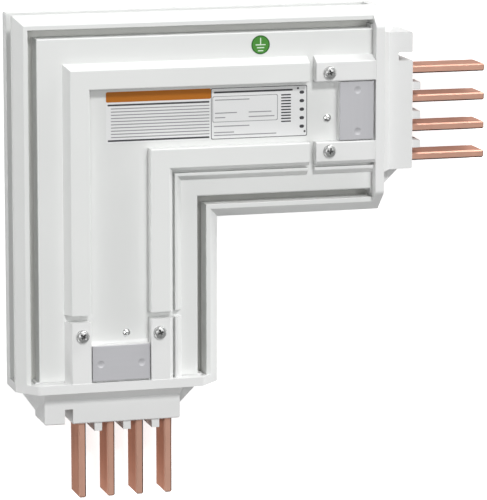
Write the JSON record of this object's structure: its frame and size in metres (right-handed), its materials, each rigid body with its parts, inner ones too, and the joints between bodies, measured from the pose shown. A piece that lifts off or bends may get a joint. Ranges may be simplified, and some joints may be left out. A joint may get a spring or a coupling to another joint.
{
  "type": "busway elbow",
  "caption": "Right-angle busway elbow: mitred white housing with a ridged front cover, moulded end caps and flat copper bus bars standing out of both ends.",
  "frame": {"origin": "on the back face, where the centre lines of the two legs cross", "axes": "+X along one leg towards its bar ends, -Y along the other leg, +Z out of the front cover"},
  "size_m": [0.385, 0.385, 0.053],
  "materials": {
    "housing_paint": "satin white powder coat on extruded aluminium",
    "cover_paint": "satin white powder coat on aluminium sheet",
    "cap_moulding": "fine matt white moulding",
    "copper": "bare drawn copper",
    "plate_steel": "zinc-plated sheet",
    "fastener_steel": "bright zinc-plated"
  },
  "bodies": {
    "root": {"housing_leg_right": "housing_paint", "housing_leg_bottom": "housing_paint", "front_cover": "cover_paint", "end_cap_right": "cap_moulding", "end_cap_bottom": "cap_moulding", "bus_bar_1": "copper", "bus_bar_2": "copper", "bus_bar_3": "copper", "bus_bar_4": "copper", "bonding_plate_right": "plate_steel", "screw_1_right": "fastener_steel", "screw_2_right": "fastener_steel", "rivet_right": "fastener_steel", "bonding_plate_bottom": "plate_steel", "screw_1_bottom": "fastener_steel", "screw_2_bottom": "fastener_steel", "rivet_bottom": "fastener_steel"}
  },
  "joints": []
}
